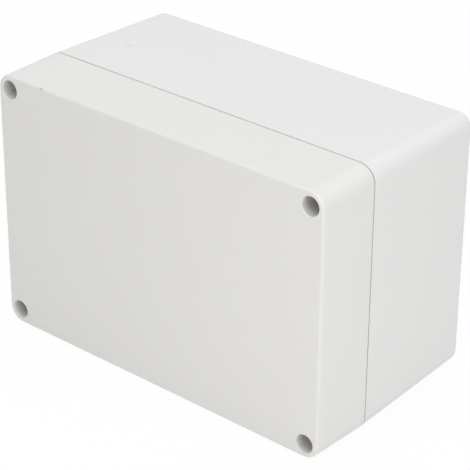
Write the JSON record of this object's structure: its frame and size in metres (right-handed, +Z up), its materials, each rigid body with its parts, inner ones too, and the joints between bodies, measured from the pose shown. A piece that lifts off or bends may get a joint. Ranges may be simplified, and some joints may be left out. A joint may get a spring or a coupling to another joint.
{
  "type": "junction box",
  "caption": "Plastic junction box with a deep drafted base, wall-fixing holes and floor bosses, and a gasketed lid held by screws sunk in its corners.",
  "frame": {"origin": "middle of the footprint on the surface that the box stands on, on its long side as in the picture", "axes": "+X along the length, to the right as seen from the lid; +Y from the lid to the back face, so the lid faces -Y; +Z up"},
  "size_m": [0.16, 0.09, 0.11],
  "materials": {
    "moulded_plastic": "finely textured light grey moulding",
    "seal_rubber": "smooth dark grey sealing strip",
    "insert_brass": "turned",
    "screw_steel": "bright zinc plated"
  },
  "bodies": {
    "base": {"base": "moulded_plastic", "threaded_inserts": "insert_brass"},
    "lid": {"lid": "moulded_plastic", "gasket": "seal_rubber"},
    "screw_top_left": {"screw_top_left": "screw_steel"},
    "screw_top_right": {"screw_top_right": "screw_steel"},
    "screw_bottom_left": {"screw_bottom_left": "screw_steel"},
    "screw_bottom_right": {"screw_bottom_right": "screw_steel"}
  },
  "joints": [
    {"name": "lid_off", "type": "slide", "parent": "base", "child": "lid", "axis": [0, -1, 0], "range_m": [0, 0.1]},
    {"name": "screw_top_left_turn", "type": "hinge", "parent": "lid", "child": "screw_top_left", "pos_m": [-0.0735, -0.0227, 0.1035], "axis": [0, -1, 0], "continuous": true},
    {"name": "screw_top_right_turn", "type": "hinge", "parent": "lid", "child": "screw_top_right", "pos_m": [0.0735, -0.0227, 0.1035], "axis": [0, -1, 0], "continuous": true},
    {"name": "screw_bottom_left_turn", "type": "hinge", "parent": "lid", "child": "screw_bottom_left", "pos_m": [-0.0735, -0.0227, 0.0065], "axis": [0, -1, 0], "continuous": true},
    {"name": "screw_bottom_right_turn", "type": "hinge", "parent": "lid", "child": "screw_bottom_right", "pos_m": [0.0735, -0.0227, 0.0065], "axis": [0, -1, 0], "continuous": true}
  ]
}
